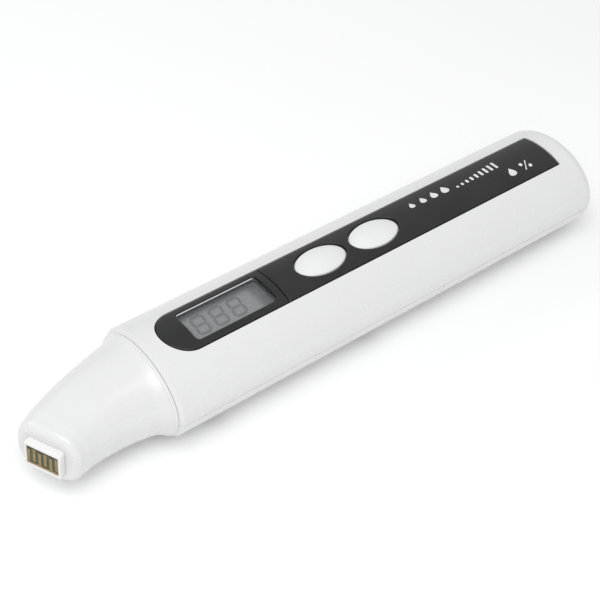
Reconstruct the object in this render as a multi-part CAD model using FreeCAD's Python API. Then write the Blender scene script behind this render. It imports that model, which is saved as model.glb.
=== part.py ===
import FreeCAD, Part
import math
import os

# A pen-shaped surface moisture meter, in millimetres. The nose points along -X and bends towards -Y, the
# tail is at +X, and +Z runs up through the display. The origin is under the middle of the meter, on the
# surface that it lies on.

Vector = FreeCAD.Vector
X_AXIS = Vector(1, 0, 0)
Z_AXIS = Vector(0, 0, 1)
FAR = 200.0
MARGIN = 1.0
TOLERANCE = 0.001

# Casing: an oval tube in two halves, with the rear of the lower half as the battery door
body_width = 24.0
body_height = 18.24
rim_x = -40.65
tail_x = 65.44
wall = 1.8
tail_wall = 1.5
tail_edge_radius = 3.0
rim_chamfer = 0.65
split_height = 8.6
seam_gap = 0.10
axis_height = body_height / 2
cavity_end_x = tail_x - tail_wall

# Lips inside the seam: the lower half's stands up, and the upper half's hangs down inside the door
lip_height = 1.2
lip_thickness = 0.7
lip_root = 1.5
lip_clearance = 0.10
lip_overlap = 0.3
lip_end_gap = 1.0

# Battery door: slides off towards the tail, with grooves that run on beads of the upper half's lip
door_x = 22.0
door_tongue_length = 3.0
door_tongue_thickness = 0.8
door_tongue_half_width = 6.0
door_clearance = 0.15
bead_depth = 0.30
bead_height = 0.40
bead_rise = 0.50
grip_count = 4
grip_pitch = 1.7
grip_width = 0.8
grip_depth = 0.35
grip_half_width = 6.0
grip_start = 4.0

# Nose cone: a bent, tapering oval that turns boxier towards its tip
tip_x = -63.95
tip_y = -4.81
bend_angle = 24.5
nose_wall = 1.6
collar_width = 0.65
nose_straight_reach = 6.63
nose_bent_reach = 6.16
nose_half_widths = (10.06, 8.48, 7.12, 6.3)
nose_half_heights = (8.4, 7.8, 6.41, 5.7)
nose_end_exponent = 2.9
flare_length = 2.4
flare_sideways = 0.9
flare_upwards = 0.2
shoulder_radius = 1.4
shoulder_steps = 6
nose_shares = (0, 0.03, 0.06, 0.09, 0.13, 0.2, 0.32, 0.45, 0.58, 0.71, 0.84, 0.94)
hollow_shares = (0, 0.2, 0.4, 0.6, 0.8, 1.0)
spigot_length = 5.1
spigot_wall = 1.5
spigot_clearance = 0.05
spigot_overlap = 0.1
spigot_rib_height = 0.8
spigot_rib_width = 1.0
spigot_rib_x = -38.2
spigot_rib_clearance = 0.2
section_points = 32

# Sensor on the tip: a rectangular boss that holds a small board with gold contact bars
boss_half_width = 3.6
boss_half_height = 2.95
boss_depth = 1.4
boss_corner_radius = 0.5
holder_flange_half_width = 3.9
holder_flange_half_height = 3.5
holder_flange_radius = 1.5
holder_flange_thickness = 0.8
holder_clearance = 0.05
window_half_width = 3.08
window_half_height = 2.26
sensor_board_thickness = 0.8
sensor_board_sink = 0.25
ledge_width = 0.45
bar_count = 6
bar_width = 0.55
bar_thickness = 0.08
rail_height = 0.45
comb_gap = 0.30

# Black panel: a curved sheet let into the top of the casing, in two sections with a groove between them
panel_half_width = 5.1
panel_front_x = -36.9
panel_rear_x = 59.4
panel_thickness = 0.8
panel_clearance = 0.08
panel_corner_radius = 0.4
groove_x = -11.9
groove_width = 0.14

# Display: window, glass, reflector, contact strips and holder, stacked on the main board
display_x = -22.5
window_length = 18.0
window_width = 7.3
window_radius = 0.9
window_top = 17.66
window_clearance = 0.05
window_flange = 0.4
window_flange_thickness = 0.33
glass_length = 19.4
glass_width = 8.0
glass_thickness = 1.8
glass_top = 16.5
reflector_length = 17.6
reflector_width = 4.2
reflector_thickness = 0.2
strip_width = 1.2
strip_gap = 0.15
strip_end_gap = 0.7
holder_rim_wall = 0.40
holder_rim_top = 16.0
holder_rim_radius = 0.8
holder_fit = 0.05
holder_base_length = 23.0
holder_base_width = 11.8
holder_base_top = 14.8
display_opening_clearance = 0.10

# Main board
board_front_x = -35.2
board_rear_x = 15.6
board_half_width = 7.0
board_thickness = 1.0
board_top = 12.9
board_bottom = board_top - board_thickness
board_notch_clearance = 0.25
board_screw_places = ((-8.9, -5.0), (-8.9, 5.0))
board_post_radius = 1.4
board_screw_radius = 0.6
board_screw_hole = 0.75
board_screw_head_radius = 1.25
board_screw_head_height = 0.8
board_screw_reach = 2.1
blob_radius = 4.2
blob_height = 1.3
blob_x = -22.0
chip_length = 2.0
chip_width = 1.25
chip_height = 0.6
chip_row_x = -4.0
chip_pitch = 3.4
chip_columns = 5
chip_rows = (-3.4, 0.0, 3.4)
socket_length = 2.4
socket_half_width = 1.6
socket_height = 4.9

# Buttons: domed oval caps on tact switches
button_half_length = 5.66
button_half_width = 3.33
power_button_x = -0.62
hold_button_x = 12.58
button_gap = 0.25
button_rim_height = 17.85
button_dome_top = 18.72
button_skirt_bottom = 15.6
button_skirt_wall = 0.9
button_roof = 1.3
lug_length = 0.8
lug_half_width = 2.0
lug_thickness = 0.6
lug_top = 16.1
switch_size = 4.6
switch_height = 1.5
plunger_radius = 1.0
plunger_height = 0.5
plunger_sunk = 0.8
plunger_clearance = 0.05
switch_floor = 0.2
stem_radius = 1.2

# Screws that join the casing halves from below
case_screw_places = ((-30.0, -7.8), (-30.0, 7.8), (6.0, -7.8), (6.0, 7.8))
lower_boss_radius = 2.4
upper_boss_radius = 1.8
screw_seat_height = 4.4
screw_head_radius = 1.45
screw_head_height = 1.0
screw_head_clearance = 0.15
screw_radius = 0.80
screw_hole_clearance = 0.20
screw_pilot_clearance = 0.02
screw_reach = 8.0
pilot_depth = 4.9
cross_width = 0.35
cross_depth = 0.5
cross_share = 0.6

# Battery and its holder
battery_radius = 5.25
battery_length = 44.5
battery_nub_radius = 1.9
battery_nub_length = 0.8
battery_end_radius = 4.6
battery_end_step = 0.2
holder_front_gap = 0.1
holder_end_wall = 0.7
trough_clearance = 0.20
trough_wall = 0.60
end_wall_drop = 3.0
contact_thickness = 0.3
contact_half_width = 4.0
contact_half_height = 2.8
contact_corner_radius = 1.0
tab_width = 1.5
tab_inner_y = 3.0
tab_top = 15.1
tab_clearance = 0.15
spring_length = 1.8
spring_wire_radius = 0.25
spring_radius = 3.2
spring_turns = 2.4
rib_places = (26.0, 41.0, 56.0)
rib_thickness = 1.0
rib_half_width = 2.5
rib_clearance = 0.02
lead_radius = 0.4
lead_height = 14.55
lead_bend = 1.0
lead_end_x = 14.0

holder_front_x = board_rear_x + holder_front_gap
front_contact_x = holder_front_x + holder_end_wall
battery_front_x = front_contact_x + contact_thickness
battery_rear_x = battery_front_x + battery_length
rear_contact_x = battery_rear_x + spring_length
trough_inner_radius = battery_radius + trough_clearance
trough_outer_radius = trough_inner_radius + trough_wall

# Ribbon from the sensor board to the main board
ribbon_half_height = 1.7
ribbon_thickness = 0.2
ribbon_bend_radius = 20.0


def box(x_low, x_high, y_low, y_high, z_low, z_high):
    """Block between two corners."""
    return Part.makeBox(x_high - x_low, y_high - y_low, z_high - z_low, Vector(x_low, y_low, z_low))


def oval_bar(inset, x_low, x_high):
    """Bar with the casing's oval section, drawn in by inset all round."""
    side = Vector(x_low, body_width / 2 - inset, axis_height)
    top = Vector(x_low, 0, axis_height + body_height / 2 - inset)
    curve = Part.Ellipse(side, top, Vector(x_low, 0, axis_height))
    face = Part.Face(Part.Wire([curve.toShape()]))
    return face.extrude(Vector(x_high - x_low, 0, 0))


def oval_tube(outer_inset, inner_inset, x_low, x_high):
    """Tube between two insets of the casing's oval section."""
    return oval_bar(outer_inset, x_low, x_high).cut(oval_bar(inner_inset, x_low - MARGIN, x_high + MARGIN))


def slab(z_low, z_high):
    """Everything between two heights."""
    return box(-FAR, FAR, -FAR, FAR, z_low, z_high)


def post(x, y, radius, z_low, z_high):
    """Upright cylinder."""
    return Part.makeCylinder(radius, z_high - z_low, Vector(x, y, z_low), Z_AXIS)


def long_rod(radius, x_low, x_high, y, z):
    """Cylinder that lies along X."""
    return Part.makeCylinder(radius, x_high - x_low, Vector(x_low, y, z), X_AXIS)


def edges_along(shape, axis):
    """The straight edges of a shape that run along an axis."""
    found = []
    for edge in shape.Edges:
        run = edge.Vertexes[-1].Point - edge.Vertexes[0].Point
        if run.Length > TOLERANCE and abs(run.normalize().dot(axis)) > 1 - TOLERANCE:
            found.append(edge)
    return found


def rounded_plate(centre_x, length, width, radius, z_low, z_high):
    """Upright plate, centred on y = 0, with rounded corners seen from above."""
    plate = box(centre_x - length / 2, centre_x + length / 2, -width / 2, width / 2, z_low, z_high)
    return plate.makeFillet(radius, edges_along(plate, Z_AXIS))


def oval_post(centre_x, half_length, half_width, z_low, z_high):
    """Upright bar with an oval section, long axis along X."""
    centre = Vector(centre_x, 0, z_low)
    curve = Part.Ellipse(centre + Vector(half_length, 0, 0), centre + Vector(0, half_width, 0), centre)
    return Part.Face(Part.Wire([curve.toShape()])).extrude(Vector(0, 0, z_high - z_low))


def rounded_path(points, radius):
    """Wire of straight runs joined by tangent arcs of one radius."""
    edges = []
    start = points[0]
    for before, corner, after in zip(points, points[1:], points[2:]):
        back = (before - corner).normalize()
        ahead = (after - corner).normalize()
        half_turn = (math.pi - back.getAngle(ahead)) / 2
        reach = radius * math.tan(half_turn)
        enter = corner + back * reach
        leave = corner + ahead * reach
        middle = corner + (back + ahead).normalize() * radius * (1 / math.cos(half_turn) - 1)
        edges.append(Part.LineSegment(start, enter).toShape())
        edges.append(Part.Arc(enter, middle, leave).toShape())
        start = leave
    edges.append(Part.LineSegment(start, points[-1]).toShape())
    return Part.Wire(edges)


def swept(path, profile):
    """Solid of a closed profile carried along a path."""
    return path.makePipeShell([profile], True, False)


def joined(shapes):
    """One solid from shapes that overlap or touch."""
    whole = shapes[0]
    for shape in shapes[1:]:
        whole = whole.fuse(shape)
    return whole.removeSplitter()


def group(shapes):
    """Separate solids kept together as one node."""
    return Part.makeCompound(shapes)


def export(name, shape):
    """Writes one node."""
    shape.exportStep("parts/" + name + ".step")


# ---- Casing ----

def casing_outside():
    """Solid oval body with a bevelled front rim and a rounded tail."""
    body = oval_bar(0, rim_x, tail_x)
    rear = [edge for edge in body.Edges if edge.BoundBox.XMin > tail_x - TOLERANCE]
    body = body.makeFillet(tail_edge_radius, rear)
    front = [edge for edge in body.Edges if edge.BoundBox.XMax < rim_x + TOLERANCE]
    return body.makeChamfer(rim_chamfer, front)


def casing_tube():
    """Hollow casing, open at the front, with a rib that holds the nose."""
    tube = casing_outside().cut(oval_bar(wall, rim_x - MARGIN, cavity_end_x))
    rib_rear = spigot_rib_x + spigot_rib_width
    rib = oval_tube(wall - lip_overlap, wall + spigot_rib_height, spigot_rib_x, rib_rear)
    return tube.fuse(rib)


def seam_lip(x_low, x_high, side):
    """Lip across the seam: side 1 stands up from the lower half, side -1 hangs down from the upper half."""
    inner = wall + lip_clearance + lip_thickness
    edge = split_height - side * seam_gap / 2
    heights = sorted((split_height - side * lip_root, edge))
    root = oval_tube(wall - lip_overlap, inner, x_low, x_high).common(slab(heights[0], heights[1]))
    heights = sorted((edge, split_height + side * lip_height))
    free = oval_tube(wall + lip_clearance, inner, x_low, x_high).common(slab(heights[0], heights[1]))
    return root.fuse(free)


def door_bead(growth):
    """Bead on the upper half's hanging lip; its groove in the door is the same, grown all round."""
    inner = wall + lip_clearance + lip_thickness / 2
    x_low = door_x + lip_end_gap - growth * FAR
    x_high = cavity_end_x - lip_end_gap
    bead = oval_tube(wall - bead_depth - growth / 2, inner, x_low, x_high)
    top = split_height - bead_rise + growth
    return bead.common(slab(top - bead_height - 2 * growth, top))


def upper_boss(x, y):
    """Boss of the upper half that takes a casing screw, rooted in the wall above."""
    stub = post(x, y, upper_boss_radius, split_height + seam_gap / 2, body_height)
    return stub.common(oval_bar(wall / 2, rim_x, tail_x))


def board_post(x, y):
    """Post of the upper half that the main board is screwed to."""
    stub = post(x, y, board_post_radius, board_top, body_height)
    return stub.common(oval_bar(panel_thickness + panel_clearance + lip_overlap, rim_x, tail_x))


def holder_rib(x):
    """Rib of the upper half that rests on the battery holder."""
    rib = box(x, x + rib_thickness, -rib_half_width, rib_half_width, split_height, body_height)
    rib = rib.common(oval_bar(panel_thickness + panel_clearance + lip_overlap, rim_x, tail_x))
    return rib.cut(long_rod(trough_outer_radius + rib_clearance, x - MARGIN, x + rib_thickness + MARGIN,
                            0, split_height))


def panel_outline(clearance):
    """Upright prism with the panel's outline: half-round in front, square behind."""
    half = panel_half_width + clearance
    centre_x = panel_front_x + panel_half_width
    straight = box(centre_x, panel_rear_x + clearance, -half, half, axis_height, 2 * body_height)
    rear = [edge for edge in edges_along(straight, Z_AXIS) if edge.BoundBox.XMin > centre_x + TOLERANCE]
    straight = straight.makeFillet(panel_corner_radius, rear)
    return straight.fuse(post(centre_x, 0, half, axis_height, 2 * body_height)).removeSplitter()


def upper_shell():
    """Upper casing half, with the panel's pocket, the display opening and the button holes."""
    shell = casing_tube().common(slab(split_height + seam_gap / 2, 2 * body_height))
    pocket = panel_outline(panel_clearance).cut(oval_bar(panel_thickness, rim_x - MARGIN, tail_x + MARGIN))
    shell = shell.cut(pocket)
    for x, y in case_screw_places:
        shell = shell.fuse(upper_boss(x, y))
    for x, y in board_screw_places:
        shell = shell.fuse(board_post(x, y))
    for x in rib_places:
        shell = shell.fuse(holder_rib(x))
    opening_length = glass_length + 2 * (holder_fit + holder_rim_wall + display_opening_clearance)
    opening_width = glass_width + 2 * (holder_fit + holder_rim_wall + display_opening_clearance)
    opening_radius = holder_rim_radius + display_opening_clearance
    shell = shell.cut(rounded_plate(display_x, opening_length, opening_width, opening_radius, board_top, FAR))
    for x in (power_button_x, hold_button_x):
        shell = shell.cut(button_hole(x))
    for x, y in case_screw_places:
        shell = shell.cut(post(x, y, screw_radius + screw_pilot_clearance, 0, split_height + pilot_depth))
    for x, y in board_screw_places:
        reach = board_top + board_screw_reach + screw_pilot_clearance
        shell = shell.cut(post(x, y, board_screw_radius + screw_pilot_clearance, 0, reach))
    hanging_lip = seam_lip(door_x + lip_end_gap, cavity_end_x - lip_end_gap, -1)
    return shell.fuse(hanging_lip).fuse(door_bead(0))


def lower_boss(x, y):
    """Boss of the lower half around a casing screw."""
    stub = post(x, y, lower_boss_radius, 0, split_height - seam_gap / 2)
    return stub.common(oval_bar(wall / 2, rim_x, tail_x))


def lower_shell():
    """Front part of the lower casing half, with counterbored screw bosses."""
    limits = box(-FAR, door_x - seam_gap / 2, -FAR, FAR, -MARGIN, split_height - seam_gap / 2)
    shell = casing_tube().common(limits)
    front_lip = seam_lip(rim_x + spigot_length + lip_end_gap, door_x - lip_end_gap, 1)
    for x, y in case_screw_places:
        front_lip = front_lip.cut(post(x, y, upper_boss_radius + board_notch_clearance, split_height, FAR))
        shell = shell.fuse(lower_boss(x, y))
    shell = shell.fuse(front_lip)
    for x, y in case_screw_places:
        shell = shell.cut(post(x, y, screw_head_radius + screw_head_clearance, -MARGIN, screw_seat_height))
        shell = shell.cut(post(x, y, screw_radius + screw_hole_clearance, -MARGIN, FAR))
    return shell


def battery_door():
    """Rear part of the lower half, with side grooves, a front tongue and finger grooves."""
    rear_part = box(door_x + seam_gap / 2, FAR, -FAR, FAR, -MARGIN, split_height - seam_gap / 2)
    door = casing_tube().common(rear_part)
    outer = wall + door_clearance
    inner = outer + door_tongue_thickness
    tongue = oval_tube(outer, inner, door_x - door_tongue_length, door_x + door_tongue_length)
    root = oval_tube(wall - lip_overlap, inner, door_x + seam_gap / 2, door_x + door_tongue_length)
    limits = box(-FAR, FAR, -door_tongue_half_width, door_tongue_half_width, -MARGIN, split_height - lip_root)
    door = joined([door, tongue.common(limits), root.common(limits)])
    door = door.cut(door_bead(door_clearance))
    for index in range(grip_count):
        x = door_x + grip_start + index * grip_pitch
        cutter = oval_tube(-MARGIN, grip_depth, x, x + grip_width)
        limits = box(-FAR, FAR, -grip_half_width, grip_half_width, -FAR, axis_height / 2)
        door = door.cut(cutter.common(limits))
    return door


# ---- Nose ----

def in_tip_frame(shape):
    """Moves a shape drawn about the origin, looking inwards along +X, to the middle of the tip's face."""
    shape.rotate(Vector(0, 0, 0), Z_AXIS, bend_angle)
    shape.translate(Vector(tip_x, tip_y, axis_height))
    return shape


def tip_block(depth_low, depth_high, half_width, half_height, radius):
    """Block behind the tip's face, between two depths, with rounded corners."""
    block = box(depth_low, depth_high, -half_width, half_width, -half_height, half_height)
    if radius > 0:
        block = block.makeFillet(radius, edges_along(block, X_AXIS))
    return in_tip_frame(block)


def tip_point(depth):
    """Point on the tip's axis at a depth behind its face."""
    angle = math.radians(bend_angle)
    return Vector(tip_x + depth * math.cos(angle), tip_y + depth * math.sin(angle), axis_height)


def bezier_value(values, share):
    """Value of a cubic Bezier with four control values."""
    rest = 1 - share
    a, b, c, d = values
    return a * rest ** 3 + 3 * b * rest ** 2 * share + 3 * c * rest * share ** 2 + d * share ** 3


def nose_centreline():
    """Bent centreline, from the collar to where the shoulder of the tip begins."""
    start_x = rim_x - seam_gap - collar_width
    end = tip_point(boss_depth + shoulder_radius)
    inward = (end - tip_point(0)).normalize()
    curve = Part.BezierCurve()
    curve.setPoles([
        Vector(start_x, 0, axis_height),
        Vector(start_x - nose_straight_reach, 0, axis_height),
        end + inward * nose_bent_reach,
        end,
    ])
    return curve


def rounded_section(centre, along, half_width, half_height, exponent):
    """Closed smooth section square to a direction: an oval whose corners fill out as the exponent grows."""
    across = Vector(-along.y, along.x, 0).normalize()
    points = []
    for index in range(section_points):
        angle = 2 * math.pi * index / section_points
        cosine = math.cos(angle)
        sine = math.sin(angle)
        side = math.copysign(abs(cosine) ** (2 / exponent), cosine) * half_width
        rise = math.copysign(abs(sine) ** (2 / exponent), sine) * half_height
        points.append(centre + across * side + Z_AXIS * rise)
    curve = Part.BSplineCurve()
    curve.interpolate(Points=points, PeriodicFlag=True)
    return Part.Wire([curve.toShape()])


def nose_section(curve, share, inset):
    """Section of the nose at a share of its centreline, drawn in by inset."""
    travelled = curve.length(curve.FirstParameter, share) if share > 0 else 0
    flare = max(0, 1 - travelled / flare_length) ** 2
    half_width = bezier_value(nose_half_widths, share) + flare * flare_sideways - inset
    half_height = bezier_value(nose_half_heights, share) + flare * flare_upwards - inset
    exponent = 2 + (nose_end_exponent - 2) * share ** 2
    return rounded_section(curve.value(share), curve.tangent(share)[0], half_width, half_height, exponent)


def nose_outside():
    """Solid nose from the collar to the flat end around the sensor boss."""
    curve = nose_centreline()
    sections = [nose_section(curve, share, 0) for share in nose_shares]
    inward = tip_point(1) - tip_point(0)
    for index in range(shoulder_steps):
        angle = math.pi / 2 * index / (shoulder_steps - 1)
        depth = boss_depth + shoulder_radius * (1 - math.sin(angle))
        inset = shoulder_radius * (1 - math.cos(angle))
        half_width = nose_half_widths[-1] - inset
        half_height = nose_half_heights[-1] - inset
        section = rounded_section(tip_point(depth), inward * -1, half_width, half_height, nose_end_exponent)
        sections.append(section)
    return Part.makeLoft(sections, True, False)


def nose_hollow():
    """Inside of the nose, one wall in from its outside, closed one wall behind its end."""
    curve = nose_centreline()
    sections = [nose_section(curve, share, nose_wall) for share in hollow_shares]
    return Part.makeLoft(sections, True, False)


def nose_cone():
    """Hollow bent nose with a collar and a grooved spigot that the casing halves grip."""
    collar_x = rim_x - seam_gap
    start_x = collar_x - collar_width
    collar = oval_bar(rim_chamfer, start_x, collar_x)
    front_edge = [edge for edge in collar.Edges if edge.BoundBox.XMax < start_x + TOLERANCE]
    collar = collar.makeFillet(collar_width / 2, front_edge)
    spigot_inset = wall + spigot_clearance
    spigot = oval_bar(spigot_inset, collar_x - spigot_overlap, rim_x + spigot_length)
    rib_low = spigot_rib_x - spigot_rib_clearance
    rib_high = spigot_rib_x + spigot_rib_width + spigot_rib_clearance
    rib_inset = wall + spigot_rib_height + spigot_clearance
    spigot = spigot.cut(oval_tube(0, rib_inset, rib_low, rib_high))
    nose = nose_outside().fuse(collar).fuse(spigot)
    throat_rear = rim_x + spigot_length + MARGIN
    throat = oval_bar(spigot_inset + spigot_wall, start_x - 2 * spigot_overlap, throat_rear)
    nose = nose.cut(throat).cut(nose_hollow())
    opening = tip_block(boss_depth - MARGIN, boss_depth + shoulder_radius + MARGIN,
                        boss_half_width + holder_clearance, boss_half_height + holder_clearance,
                        boss_corner_radius)
    return nose.cut(opening)


def sensor_holder():
    """White boss with an inner flange, a window for the sensor board and a ledge behind it."""
    flange_depth = boss_depth + shoulder_radius + holder_clearance
    boss = tip_block(0, flange_depth + holder_flange_thickness / 2, boss_half_width, boss_half_height,
                     boss_corner_radius)
    flange = tip_block(flange_depth, flange_depth + holder_flange_thickness, holder_flange_half_width,
                       holder_flange_half_height, holder_flange_radius)
    window_depth = sensor_board_sink + sensor_board_thickness
    window = tip_block(-MARGIN, window_depth, window_half_width, window_half_height, 0)
    passage = tip_block(-MARGIN, flange_depth + 2 * holder_flange_thickness, window_half_width - ledge_width,
                        window_half_height - ledge_width, 0)
    return boss.fuse(flange).cut(window).cut(passage)


def sensor_board():
    """Small board that fills the window of the sensor holder."""
    return tip_block(sensor_board_sink, sensor_board_sink + sensor_board_thickness,
                     window_half_width - holder_clearance, window_half_height - holder_clearance, 0)


def sensor_bar(across, low, high):
    """One contact bar on the sensor board, at a place across the face."""
    depth = sensor_board_sink - bar_thickness
    bar = box(depth, sensor_board_sink, across - bar_width / 2, across + bar_width / 2, low, high)
    return in_tip_frame(bar)


def sensor_electrodes():
    """Two combs of contact bars that mesh: one hangs from a top rail, one stands on a bottom rail."""
    edge = window_half_height - 2 * holder_clearance
    half_width = window_half_width - 2 * holder_clearance
    depth = sensor_board_sink - bar_thickness
    pitch = (2 * half_width - bar_width) / (bar_count - 1)
    combs = []
    for side in (0, 1):
        rail_low = edge - rail_height if side == 0 else -edge
        rail = box(depth, sensor_board_sink, -half_width, half_width, rail_low, rail_low + rail_height)
        pieces = [in_tip_frame(rail)]
        for index in range(side, bar_count, 2):
            across = -half_width + bar_width / 2 + index * pitch
            low = -edge + rail_height + comb_gap if side == 0 else -edge
            high = edge if side == 0 else edge - rail_height - comb_gap
            pieces.append(sensor_bar(across, low, high))
        combs.append(joined(pieces))
    return group(combs)


def sensor_ribbon():
    """Flat ribbon on edge, from the sensor board along the nose to the socket on the main board."""
    start = tip_point(sensor_board_sink + sensor_board_thickness)
    inward = tip_point(1) - tip_point(0)
    corner = start - inward * (start.y / inward.y)
    end = Vector(board_front_x, 0, axis_height)
    path = rounded_path([start, corner, end], ribbon_bend_radius)
    across = Vector(-inward.y, inward.x, 0) * (ribbon_thickness / 2)
    rise = Vector(0, 0, ribbon_half_height)
    corners = [start - across - rise, start + across - rise, start + across + rise, start - across + rise]
    profile = Part.makePolygon(corners + [corners[0]])
    return swept(path, profile)


# ---- Black panel and display ----

def panel_sheet():
    """Whole panel before it is divided: the casing's outer skin inside the panel's outline."""
    skin = oval_tube(0, panel_thickness, rim_x, tail_x)
    return skin.common(panel_outline(0))


def display_bezel():
    """Front section of the panel, with the display window."""
    bezel = panel_sheet().common(box(-FAR, groove_x - groove_width / 2, -FAR, FAR, 0, FAR))
    return bezel.cut(rounded_plate(display_x, window_length, window_width, window_radius, 0, FAR))


def button_panel():
    """Rear section of the panel, with the two button holes."""
    panel = panel_sheet().common(box(groove_x + groove_width / 2, FAR, -FAR, FAR, 0, FAR))
    for x in (power_button_x, hold_button_x):
        panel = panel.cut(button_hole(x))
    return panel


def display_window():
    """Clear window with a flange under the bezel."""
    length = window_length - 2 * window_clearance
    width = window_width - 2 * window_clearance
    plate = rounded_plate(display_x, length, width, window_radius, glass_top, window_top)
    flange = rounded_plate(display_x, length + 2 * window_flange, width + 2 * window_flange, window_radius,
                           glass_top, glass_top + window_flange_thickness)
    return plate.fuse(flange)


def lcd_glass():
    """Display glass under the window."""
    return box(display_x - glass_length / 2, display_x + glass_length / 2, -glass_width / 2, glass_width / 2,
               glass_top - glass_thickness, glass_top)


def lcd_reflector():
    """Silver film under the display glass, between the contact strips."""
    glass_bottom = glass_top - glass_thickness
    return box(display_x - reflector_length / 2, display_x + reflector_length / 2, -reflector_width / 2,
               reflector_width / 2, glass_bottom - reflector_thickness, glass_bottom)


def zebra_strips():
    """Two rubber contact strips between the display glass and the main board."""
    half_length = glass_length / 2 - strip_end_gap
    outer = glass_width / 2 - strip_gap
    strips = []
    for low in (-outer, outer - strip_width):
        strips.append(box(display_x - half_length, display_x + half_length, low, low + strip_width,
                          board_top, glass_top - glass_thickness))
    return group(strips)


def lcd_holder():
    """Frame on the main board that holds the display glass and the contact strips."""
    inner_length = glass_length + 2 * holder_fit
    inner_width = glass_width + 2 * holder_fit
    base = box(display_x - holder_base_length / 2, display_x + holder_base_length / 2,
               -holder_base_width / 2, holder_base_width / 2, board_top, holder_base_top)
    rim = rounded_plate(display_x, inner_length + 2 * holder_rim_wall, inner_width + 2 * holder_rim_wall,
                        holder_rim_radius, board_top, holder_rim_top)
    hollow = box(display_x - inner_length / 2, display_x + inner_length / 2, -inner_width / 2,
                 inner_width / 2, 0, FAR)
    return base.fuse(rim).cut(hollow).removeSplitter()


# ---- Main board ----

def main_board():
    """Circuit board, notched round the casing bosses and drilled for its own screws."""
    board = box(board_front_x, board_rear_x, -board_half_width, board_half_width, board_bottom, board_top)
    for x, y in case_screw_places:
        board = board.cut(post(x, y, upper_boss_radius + board_notch_clearance, 0, FAR))
    for x, y in board_screw_places:
        board = board.cut(post(x, y, board_screw_hole, 0, FAR))
    return board


def controller_chip():
    """Domed blob of resin over the controller, under the board."""
    radius = (blob_radius ** 2 + blob_height ** 2) / (2 * blob_height)
    ball = Part.makeSphere(radius, Vector(blob_x, 0, board_bottom - blob_height + radius))
    return ball.common(slab(board_bottom - blob_height, board_bottom))


def board_components():
    """Rows of small chips under the board."""
    chips = []
    for column in range(chip_columns):
        for y in chip_rows:
            x = chip_row_x + column * chip_pitch
            chips.append(box(x, x + chip_length, y - chip_width / 2, y + chip_width / 2,
                             board_bottom - chip_height, board_bottom))
    return group(chips)


def sensor_socket():
    """Socket under the front of the board that takes the sensor ribbon."""
    return box(board_front_x, board_front_x + socket_length, -socket_half_width, socket_half_width,
               board_bottom - socket_height, board_bottom)


# ---- Buttons ----

def button_hole(x):
    """Opening round a button, through the panel and the casing."""
    return oval_post(x, button_half_length + button_gap, button_half_width + button_gap, board_top, FAR)


def button(x):
    """Domed oval cap with a hollow skirt, two stop lugs under the casing and a stem to its switch."""
    cap = oval_post(x, button_half_length, button_half_width, button_skirt_bottom, FAR)
    rise = button_dome_top - button_rim_height
    dome_radius = (button_half_width ** 2 + rise ** 2) / (2 * rise)
    stretch = button_half_length / button_half_width
    dome = Part.makeSphere(dome_radius, Vector(0, 0, button_dome_top - dome_radius))
    matrix = FreeCAD.Matrix()
    matrix.scale(stretch, 1, 1)
    dome = dome.transformGeometry(matrix)
    dome.translate(Vector(x, 0, 0))
    cap = cap.common(dome)
    hollow = oval_post(x, button_half_length - button_skirt_wall, button_half_width - button_skirt_wall,
                       button_skirt_bottom - MARGIN, button_rim_height - button_roof)
    cap = cap.cut(hollow)
    reach = button_half_length + lug_length
    lugs = box(x - reach, x + reach, -lug_half_width, lug_half_width, lug_top - lug_thickness, lug_top)
    middle = button_half_length - button_skirt_wall
    lugs = lugs.cut(box(x - middle, x + middle, -FAR, FAR, 0, FAR))
    stem_bottom = board_top + switch_height + plunger_height
    stem = post(x, 0, stem_radius, stem_bottom, button_rim_height - button_roof / 2)
    return joined([cap, lugs, stem])


def switch_housing(x):
    """Square switch housing on the board, bored for its plunger."""
    half = switch_size / 2
    housing = box(x - half, x + half, -half, half, board_top, board_top + switch_height)
    return housing.cut(post(x, 0, plunger_radius + plunger_clearance, board_top + switch_floor, FAR))


def switch_plunger(x):
    """Round plunger, sunk in its housing and touching the button's stem."""
    top = board_top + switch_height + plunger_height
    return post(x, 0, plunger_radius, top - plunger_height - plunger_sunk, top)


# ---- Screws ----

def cross_recess(x, y, z_low, half_width):
    """Cross-shaped driver recess, cut upwards from the underside of a head."""
    first = box(x - half_width, x + half_width, y - cross_width / 2, y + cross_width / 2,
                z_low - MARGIN, z_low + cross_depth)
    second = box(x - cross_width / 2, x + cross_width / 2, y - half_width, y + half_width,
                 z_low - MARGIN, z_low + cross_depth)
    return first.fuse(second)


def screw(x, y, seat, head_radius, head_height, shank_radius, reach):
    """Screw driven upwards: its head sits below the seat height."""
    head = post(x, y, head_radius, seat - head_height, seat)
    shank = post(x, y, shank_radius, seat - head_height / 2, seat + reach)
    recess = cross_recess(x, y, seat - head_height, head_radius * cross_share)
    return joined([head, shank]).cut(recess)


def case_screws():
    """Screws that hold the two casing halves together."""
    return group([screw(x, y, screw_seat_height, screw_head_radius, screw_head_height, screw_radius,
                        screw_reach) for x, y in case_screw_places])


def board_screws():
    """Screws that hold the main board to the upper half."""
    return group([screw(x, y, board_bottom, board_screw_head_radius, board_screw_head_height,
                        board_screw_radius, board_thickness + board_screw_reach)
                  for x, y in board_screw_places])


# ---- Battery ----

def battery():
    """Small round cell with its positive nub towards the nose."""
    can_front = battery_front_x + battery_nub_length
    can_rear = battery_rear_x - battery_end_step
    can = long_rod(battery_radius, can_front, can_rear, 0, split_height)
    nub = long_rod(battery_nub_radius, battery_front_x, can_front + MARGIN, 0, split_height)
    end = long_rod(battery_end_radius, can_rear - MARGIN, battery_rear_x, 0, split_height)
    return joined([can, nub, end])


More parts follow.
